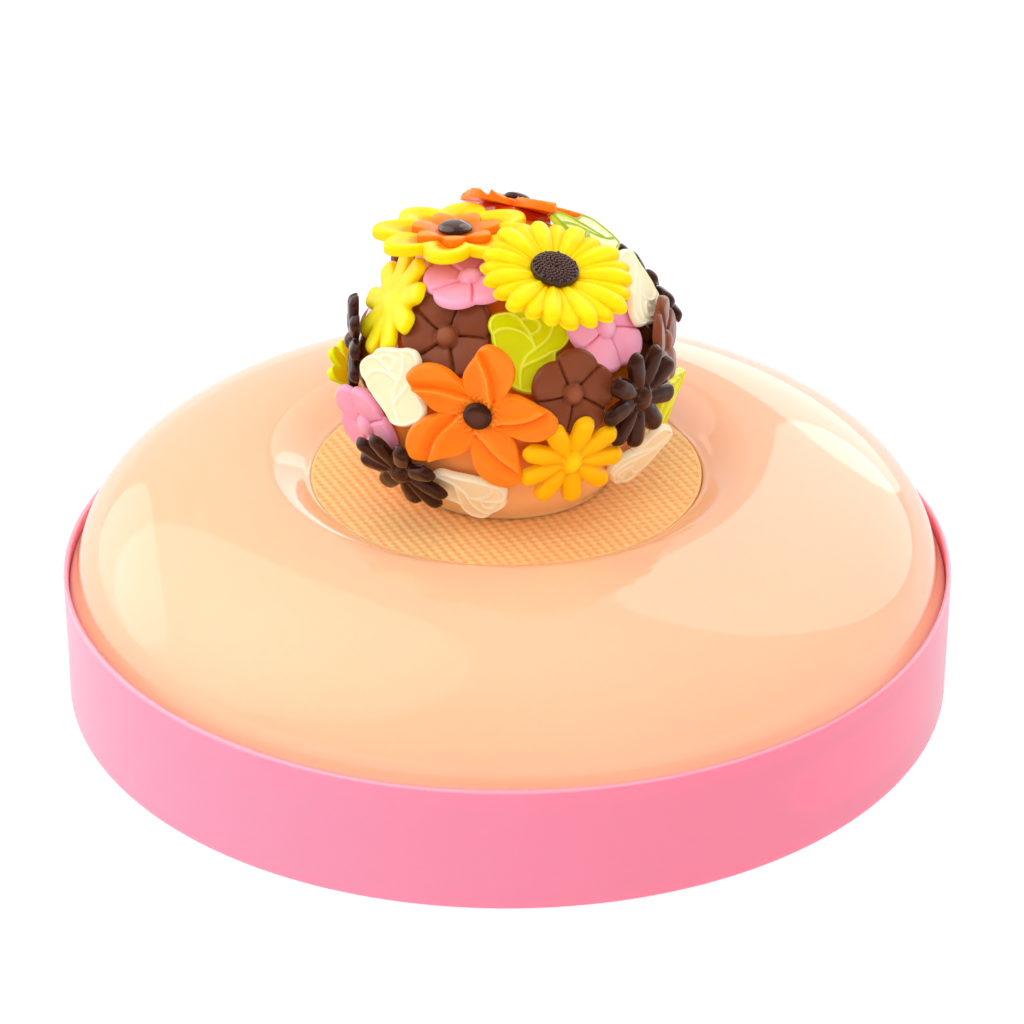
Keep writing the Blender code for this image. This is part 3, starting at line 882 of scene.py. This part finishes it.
# name: kind, slot, place and facing (azimuth, elevation), spin, size
flowers = {
    "plum_milk_under": ("plum", "milk_chocolate", (70, 24), (70, 24), 0, 0.8),
    "plum_milk_left": ("plum", "milk_chocolate", (-27, 36), (-26, 35), 48, 1.03),
    "rose_lime_front": ("rose", "lime_chocolate", (9, 33), (8, 33), 0, 1.02),
    "plum_pink_right": ("plum", "pink_chocolate", (43, 35), (47, 34), 18, 1.0),
    "plum_milk_front": ("plum", "milk_chocolate", (22, 18), (23, 13), 5, 0.94),
    "rose_cream_top": ("rose", "cream_chocolate", (68, 42), (75, 25), 180, 1.0),
    "rose_lime_right": ("rose", "lime_chocolate", (94, -14), (70, -15), 0, 1.0),
    "plum_milk_right": ("plum", "milk_chocolate", (69, 22), (79, 7), 0, 0.95),
    "plum_pink_top": ("plum", "pink_chocolate", (-24, 57), (-38, 75), -10, 1.0),
    "plum_pink_left": ("plum", "pink_chocolate", (-62, -8), (-51, -14), 0, 1.0),
    "daisy_lemon_left": ("flatDaisy", "lemon_chocolate", (-62.5, 39.5), (-72, 31), 39, 1.03),
    "rose_cream_left": ("rose", "cream_chocolate", (-41, 16), (-41, 11), 36, 1.0),
    "daisy_dark_left": ("daisy", "dark_chocolate", (-76, 19), (-86, 2), 10, 0.9),
    "daisy_lime_back": ("daisy", "lime_chocolate", (-99, -8), (-104, -26), 0, 0.8),
    "rose_cream_right": ("rose", "cream_chocolate", (60, -19), (45, -32), 147, 1.0),
    "daisy_dark_right": ("daisy", "dark_chocolate", (45, 13), (51, -3), 65, 1.0),
    "daisy_yellow_front": ("daisy", "golden_chocolate", (21, -4), (19, -15), 77, 1.0),
    "lily_orange_front": ("lily", "orange_chocolate", (-8, 15), (-13, 1), 76, 1.02),
    "rose_cream_front": ("rose", "cream_chocolate", (-15, -24), (-22, -30), -112, 0.97),
    "daisy_dark_front": ("daisy", "dark_chocolate", (-40, -15.5), (-40, -31), 24, 1.0),
    "daisy_yellow_side": ("daisy", "golden_chocolate", (118, -4), (118, -4), 0, 0.95),
    "daisy_dark_low": ("daisy", "dark_chocolate", (131, -24), (131, -24), 15, 0.9),
    "plum_pink_back": ("plum", "pink_chocolate", (158, -25), (158, -25), 30, 1.0),
    "plum_milk_low": ("plum", "milk_chocolate", (-161, -25), (-161, -25), 20, 1.0),
    "plum_milk_side": ("plum", "milk_chocolate", (-127, 0), (-127, 0), 30, 0.9),
    "rose_cream_back": ("rose", "cream_chocolate", (-128, -27), (-128, -27), 120, 1.0),
    "plum_milk_back": ("plum", "milk_chocolate", (-140, 38), (-140, 38), 60, 0.95),
    "sunflower_back": ("sunflower", "lemon_chocolate", (164, 9), (164, 9), 0, 0.97),
    "lily_orange_back": ("lily", "orange_chocolate", (-158, 4), (-158, 4), 20, 0.95),
    "plate_flower": ("plate", "lemon_chocolate", (-68, 69), (-171, 84), 28, 1.03),
    "plum_pink_crown": ("plum", "pink_chocolate", (186, 60), (186, 60), 0, 0.62),
    "lily_orange_crown": ("lily", "orange_chocolate", (176, 58), (156, 59), 66, 0.88),
    "rose_lime_top": ("rose", "lime_chocolate", (113, 55), (96, 58), 59, 1.06),
    "daisy_dark_back": ("daisy", "dark_chocolate", (109, 25), (116, 32), 20, 0.95),
    "sunflower_front": ("sunflower", "lemon_chocolate", (20, 47), (36, 71), -95, 1.05),
}

# centre pieces: for a flower's kind, the piece, its form, slot and height of its seat
centrePieces = {
    "sunflower": [("centre", "disc", "dark_chocolate", 1.5)],
    "lily": [("centre", "lilyButton", "dark_chocolate", 2.2)],
    "plate": [("star", "star", "orange_chocolate", 1.0),
              ("centre", "plateButton", "dark_chocolate", 2.0)],
}

# flowers in a tint of their slot's chocolate
tints = {"rose_lime_top": "backlit_lime", "sunflower_front_centre": "bead_chocolate",
         "sunflower_back_centre": "bead_chocolate", "plate_flower_centre": "bead_chocolate"}


def flowerSeat(name, place, face, spin):
    # its place on the ball, its three axes as rows, and how far its solid's back is lifted
    facing = direction(*face)
    a, s = math.radians(face[0]), math.radians(spin)
    side = np.array([math.cos(a), math.sin(a), 0])
    up = np.cross(facing, side)
    axes = np.array([side * math.cos(s) + up * math.sin(s),
                     up * math.cos(s) - side * math.sin(s), facing])
    base = ballCentre + direction(*place) * ball["radius"]
    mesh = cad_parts[name].data
    points = np.empty(len(mesh.vertices) * 3)
    mesh.vertices.foreach_get("co", points)
    lift = ((points.reshape(-1, 3) / mm - base) @ facing).min()
    return base, axes, lift


def addFlower(name, kind, slot, place, face, spin, size):
    # the flower and its centre pieces, each at its own height over the flower's back
    base, axes, lift = flowerSeat(name, place, face, spin)
    pieces = [(name, kind, slot, 0.0, size)]
    pieces += [(f"{name}_{part}", form, colour, seat, 1.0)
               for part, form, colour, seat in centrePieces.get(kind, [])]
    for node, form, colour, seat, scale in pieces:
        points, quads, triangles, marks = shell(form, scale)
        placed = base + (points + np.array([0, 0, lift + seat])) @ axes
        stuff = chocolates[tints.get(node, colour)]
        addPiece("choc_" + node, node, colour, stuff, placed, quads, triangles, marks)


# dabs of glaze that hold the flowers standing clear of the ball: radius and depth
dabs = {"lily_orange_crown": (8.5, 3.4), "sunflower_front": (4.2, 7.5), "plate_flower": (4.5, 6.5)}
dabShape = {"swell": 1.6, "overlap": 0.05, "rings": 18, "columns": 96}


def addDab(name, radius, depth):
    # a low drum with a swollen side, from a flower's back down into the ball
    base, axes, lift = flowerSeat(name, *flowers[name][2:4], 0)
    turn = np.linspace(-math.pi / 2, math.pi / 2, dabShape["rings"])
    reach = radius - dabShape["swell"] * (1 - np.cos(turn))
    height = lift - dabShape["overlap"] - depth / 2 * (1 - np.sin(turn))
    profile = [(0, height[0])] + list(np.stack([reach, height]).T) + [(0, height[-1])]
    points, quads, triangles = closedRings(turned(profile, dabShape["columns"]))
    addPiece("glaze_dab_" + name, None, "orange_glaze", dabMaterial(), base + points @ axes,
             quads, triangles)


def dabMaterial():
    # glaze darkened to deep red-orange as painted shade, with darker clouds
    graph = Graph("glaze_dab", Roughness=0.12, IOR=1.45, Subsurface_Weight=0.5,
                  Subsurface_Scale=0.004, Subsurface_Radius=(1.0, 0.3, 0.1))
    deep = graph.ramp(graph.noise(120.0, 2.0), 0.4, 0.7)
    # painted shade: the dab's red-orange is darker than the ball's glaze, as glaze lying in shade
    return graph.finish(Base_Color=graph.blend(deep, hex3(230, 70, 20), hex3(214, 44, 10)))


# the chocolates

# light that goes in comes out warm, red, rose or creamy
glowColours = {"warm": (1.0, 0.7, 0.1), "red": (1.0, 0.35, 0.05), "rose": (1.0, 0.45, 0.55),
               "creamy": (1.0, 0.7, 0.4)}

# name: screen colour of the ridges with painted highlight, of the fields, and of the folds with
# painted shade, roughness, shine, glow
chocolateLooks = {
    "lemon_chocolate": ((255, 232, 36), (255, 218, 6), (252, 160, 0), 0.36, 0.15, 0.6, "warm"),
    "golden_chocolate": ((255, 204, 0), (254, 184, 0), (248, 148, 0), 0.26, 0.2, 0.5, "warm"),
    "orange_chocolate": ((255, 150, 50), (255, 128, 22), (255, 96, 0), 0.28, 0.2, 0.5, "warm"),
    "dark_chocolate": ((84, 44, 28), (60, 28, 16), (24, 9, 4), 0.13, 0.26, 0.0, "red"),
    "milk_chocolate": ((150, 84, 54), (130, 66, 38), (74, 29, 11), 0.25, 0.24, 0.1, "red"),
    "pink_chocolate": ((255, 188, 208), (255, 168, 194), (246, 126, 160), 0.32, 0.2, 0.4, "rose"),
    "lime_chocolate": ((242, 248, 80), (222, 230, 0), (200, 208, 0), 0.24, 0.2, 0.4, "warm"),
    "bead_chocolate": ((66, 28, 19), (50, 20, 13), (18, 6, 3), 0.07, 0.8, 0.0, "red"),
    "cream_chocolate": ((255, 244, 216), (255, 236, 196), (255, 216, 160), 0.42, 0.18, 0.5,
                        "creamy"),
}


def chocolate(name, ridges, fields, shadedFolds, roughness, shine, glow, glowColour):
    # moulded chocolate: deeper colour in the folds as painted shade, paler on the ridges as painted
    # highlight, faint clouds
    graph = Graph(name, Roughness=roughness, IOR=1.45, Specular_IOR_Level=shine,
                  Specular_Tint=(1.0, 0.86, 0.78, 1.0), Subsurface_Weight=glow,
                  Subsurface_Scale=0.003, Subsurface_Radius=glowColours[glowColour])
    height, deep = graph.attribute("relief"), hex3(*shadedFolds)
    # painted shade in the folds and painted highlight on the ridges, taken from the relief's height
    shade = graph.blend(graph.ramp(height, 0.0, 0.45), deep, hex3(*fields))
    shade = graph.blend(graph.ramp(height, 0.6, 1.0), shade, hex3(*ridges))
    cloud = graph.ramp(graph.noise(160.0, 2.0), 0.4, 0.75, 0.0, 0.2)
    return finishChocolate(graph, graph.blend(cloud, shade, deep))


def backlitLime():
    # thin lime chocolate against the light: pale fields that deepen to the front, dark ridges
    graph = Graph("backlit_lime", Roughness=0.24, IOR=1.45, Specular_IOR_Level=0.15,
                  Subsurface_Weight=0.3, Subsurface_Scale=0.003, Subsurface_Radius=(1.0, 0.7, 0.1))
    across = graph.ramp(graph.axis("X"), 0.010, 0.021)
    field = graph.blend(across, hex3(196, 208, 20), hex3(238, 240, 168))
    ridges = graph.ramp(graph.attribute("relief"), 0.5, 0.75)
    cloud = graph.ramp(graph.noise(160.0, 2.0), 0.4, 0.75, 0.0, 0.2)
    shade = graph.blend(ridges, field, hex3(156, 176, 0))
    return finishChocolate(graph, graph.blend(cloud, shade, hex3(220, 226, 90)))


def finishChocolate(graph, colour):
    # the mould's fine grain as bump
    grain = graph.noise(700.0, 2.0)
    return graph.finish(Base_Color=colour, Normal=graph.bump(grain, 0.00006, 0.35))


addCamera()
addWorld()
for boxName, values in softboxes.items():
    addSoftbox(boxName, *values)
addFloor()
bpy.context.scene.view_settings.view_transform = "Standard"
print("stage set")

addBand()
addCake()
addWafer()
addBall()
print("cake, band, wafer and ball made")

chocolates = {name: chocolate(name, *looks) for name, looks in chocolateLooks.items()}
chocolates["backlit_lime"] = backlitLime()
for flowerName, values in flowers.items():
    addFlower(flowerName, *values)
print("flowers made")

for flowerName, values in dabs.items():
    addDab(flowerName, *values)
print("dabs made")
